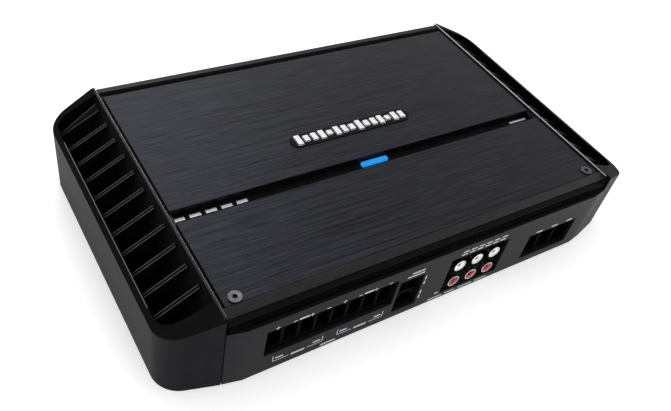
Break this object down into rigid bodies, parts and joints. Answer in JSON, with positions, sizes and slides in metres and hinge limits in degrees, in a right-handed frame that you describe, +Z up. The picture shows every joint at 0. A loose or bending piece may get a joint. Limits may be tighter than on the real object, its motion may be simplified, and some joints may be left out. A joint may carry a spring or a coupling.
{
  "type": "car amplifier",
  "caption": "Low rectangular car audio amplifier with brushed top plates, finned end caps, a lit groove, clamp terminals, phono sockets and dials under a lift-off cover.",
  "frame": {"origin": "on the mounting face, under the middle of the case", "axes": "+X along the length, -Y towards the connector side, +Z up out of the mounting surface"},
  "size_m": [0.327, 0.1934, 0.0546],
  "materials": {
    "cast_deck": "fine satin black coating on cast aluminium, bright machined lips",
    "textured_casting": "black texture coating on cast aluminium",
    "panel_finish": "fine matt black texture",
    "brushed_plate": "brushed along the length and anodised black",
    "steel_screw": "satin steel",
    "badge_metal": "polished",
    "light_lens": "clear blue, lit from below",
    "board_green": "solder mask on glass fibre",
    "bottom_sheet": "satin black powder coat",
    "zinc_steel": "zinc plate",
    "black_moulding": "moulded black",
    "plated_brass": "black nickel plate on brass",
    "nickel": "bright nickel plate on brass",
    "white_insert": "moulded white",
    "red_insert": "moulded red",
    "control_sheet": "matt black, printed scales",
    "pot_blue": "moulded",
    "knob_black": "moulded, fluted",
    "copper_winding": "enamelled copper wire",
    "capacitor_sleeve": "shrunk sleeve",
    "pad_grey": "matt silicone pad"
  },
  "bodies": {
    "case": {"badge": "badge_metal", "board_link": "black_moulding", "board_screws": "zinc_steel", "board_standoffs": "zinc_steel", "bottom_cover": "bottom_sheet", "bottom_screws": "steel_screw", "bulk_capacitors": "capacitor_sleeve", "connector_panel": "panel_finish", "control_board": "board_green", "control_board_screws": "zinc_steel", "control_plate": "control_sheet", "driver_chips": "black_moulding", "end_cap_left": "textured_casting", "end_cap_right": "textured_casting", "end_cap_screws": "steel_screw", "header_pins": "plated_brass", "heat_sink": "cast_deck", "input_capacitors": "capacitor_sleeve", "input_header": "black_moulding", "light_board": "board_green", "light_pipe": "light_lens", "main_board": "board_green", "output_inductors": "copper_winding", "output_transistors": "black_moulding", "pot_bodies": "pot_blue", "power_clamp_screws": "steel_screw", "power_clamps": "plated_brass", "power_terminal_block": "black_moulding", "power_toroid": "copper_winding", "rca_block": "black_moulding", "rca_contacts": "nickel", "rca_inserts_red": "red_insert", "rca_inserts_white": "white_insert", "rca_shells": "nickel", "rear_panel": "panel_finish", "rear_plate": "brushed_plate", "remote_level_jack": "black_moulding", "speaker_clamp_screws": "steel_screw", "speaker_clamps": "plated_brass", "speaker_terminal_block": "black_moulding", "supply_transistors": "black_moulding", "switch_bodies": "zinc_steel", "thermal_pads": "pad_grey", "toroid_base": "black_moulding", "transistor_clamp_screws": "steel_screw", "transistor_clamps": "zinc_steel"},
    "cover": {"control_cover": "brushed_plate", "cover_screws": "steel_screw"},
    "gain_knob_front": {"gain_knob_front": "knob_black"},
    "gain_knob_rear": {"gain_knob_rear": "knob_black"},
    "crossover_knob_front": {"crossover_knob_front": "knob_black"},
    "crossover_knob_rear": {"crossover_knob_rear": "knob_black"},
    "bass_knob_front": {"bass_knob_front": "knob_black"},
    "bass_knob_rear": {"bass_knob_rear": "knob_black"},
    "crossover_switch_front": {"crossover_switch_front": "knob_black"},
    "crossover_switch_rear": {"crossover_switch_rear": "knob_black"}
  },
  "joints": [
    {"name": "cover_lift", "type": "slide", "parent": "case", "child": "cover", "axis": [0, 0, 1], "range_m": [0, 0.04]},
    {"name": "gain_front_turn", "type": "hinge", "parent": "case", "child": "gain_knob_front", "pos_m": [-0.049, -0.053, 0.0466], "axis": [0, 0, 1], "range_deg": [-140, 140]},
    {"name": "crossover_front_turn", "type": "hinge", "parent": "case", "child": "crossover_knob_front", "pos_m": [-0.035, -0.053, 0.0466], "axis": [0, 0, 1], "range_deg": [-140, 140]},
    {"name": "bass_front_turn", "type": "hinge", "parent": "case", "child": "bass_knob_front", "pos_m": [-0.021, -0.053, 0.0466], "axis": [0, 0, 1], "range_deg": [-140, 140]},
    {"name": "bass_rear_turn", "type": "hinge", "parent": "case", "child": "bass_knob_rear", "pos_m": [0.021, -0.053, 0.0466], "axis": [0, 0, 1], "range_deg": [-140, 140]},
    {"name": "crossover_rear_turn", "type": "hinge", "parent": "case", "child": "crossover_knob_rear", "pos_m": [0.035, -0.053, 0.0466], "axis": [0, 0, 1], "range_deg": [-140, 140]},
    {"name": "gain_rear_turn", "type": "hinge", "parent": "case", "child": "gain_knob_rear", "pos_m": [0.049, -0.053, 0.0466], "axis": [0, 0, 1], "range_deg": [-140, 140]},
    {"name": "crossover_switch_front_slide", "type": "slide", "parent": "case", "child": "crossover_switch_front", "axis": [1, 0, 0], "range_m": [-0.003, 0.003]},
    {"name": "crossover_switch_rear_slide", "type": "slide", "parent": "case", "child": "crossover_switch_rear", "axis": [1, 0, 0], "range_m": [-0.003, 0.003]}
  ]
}
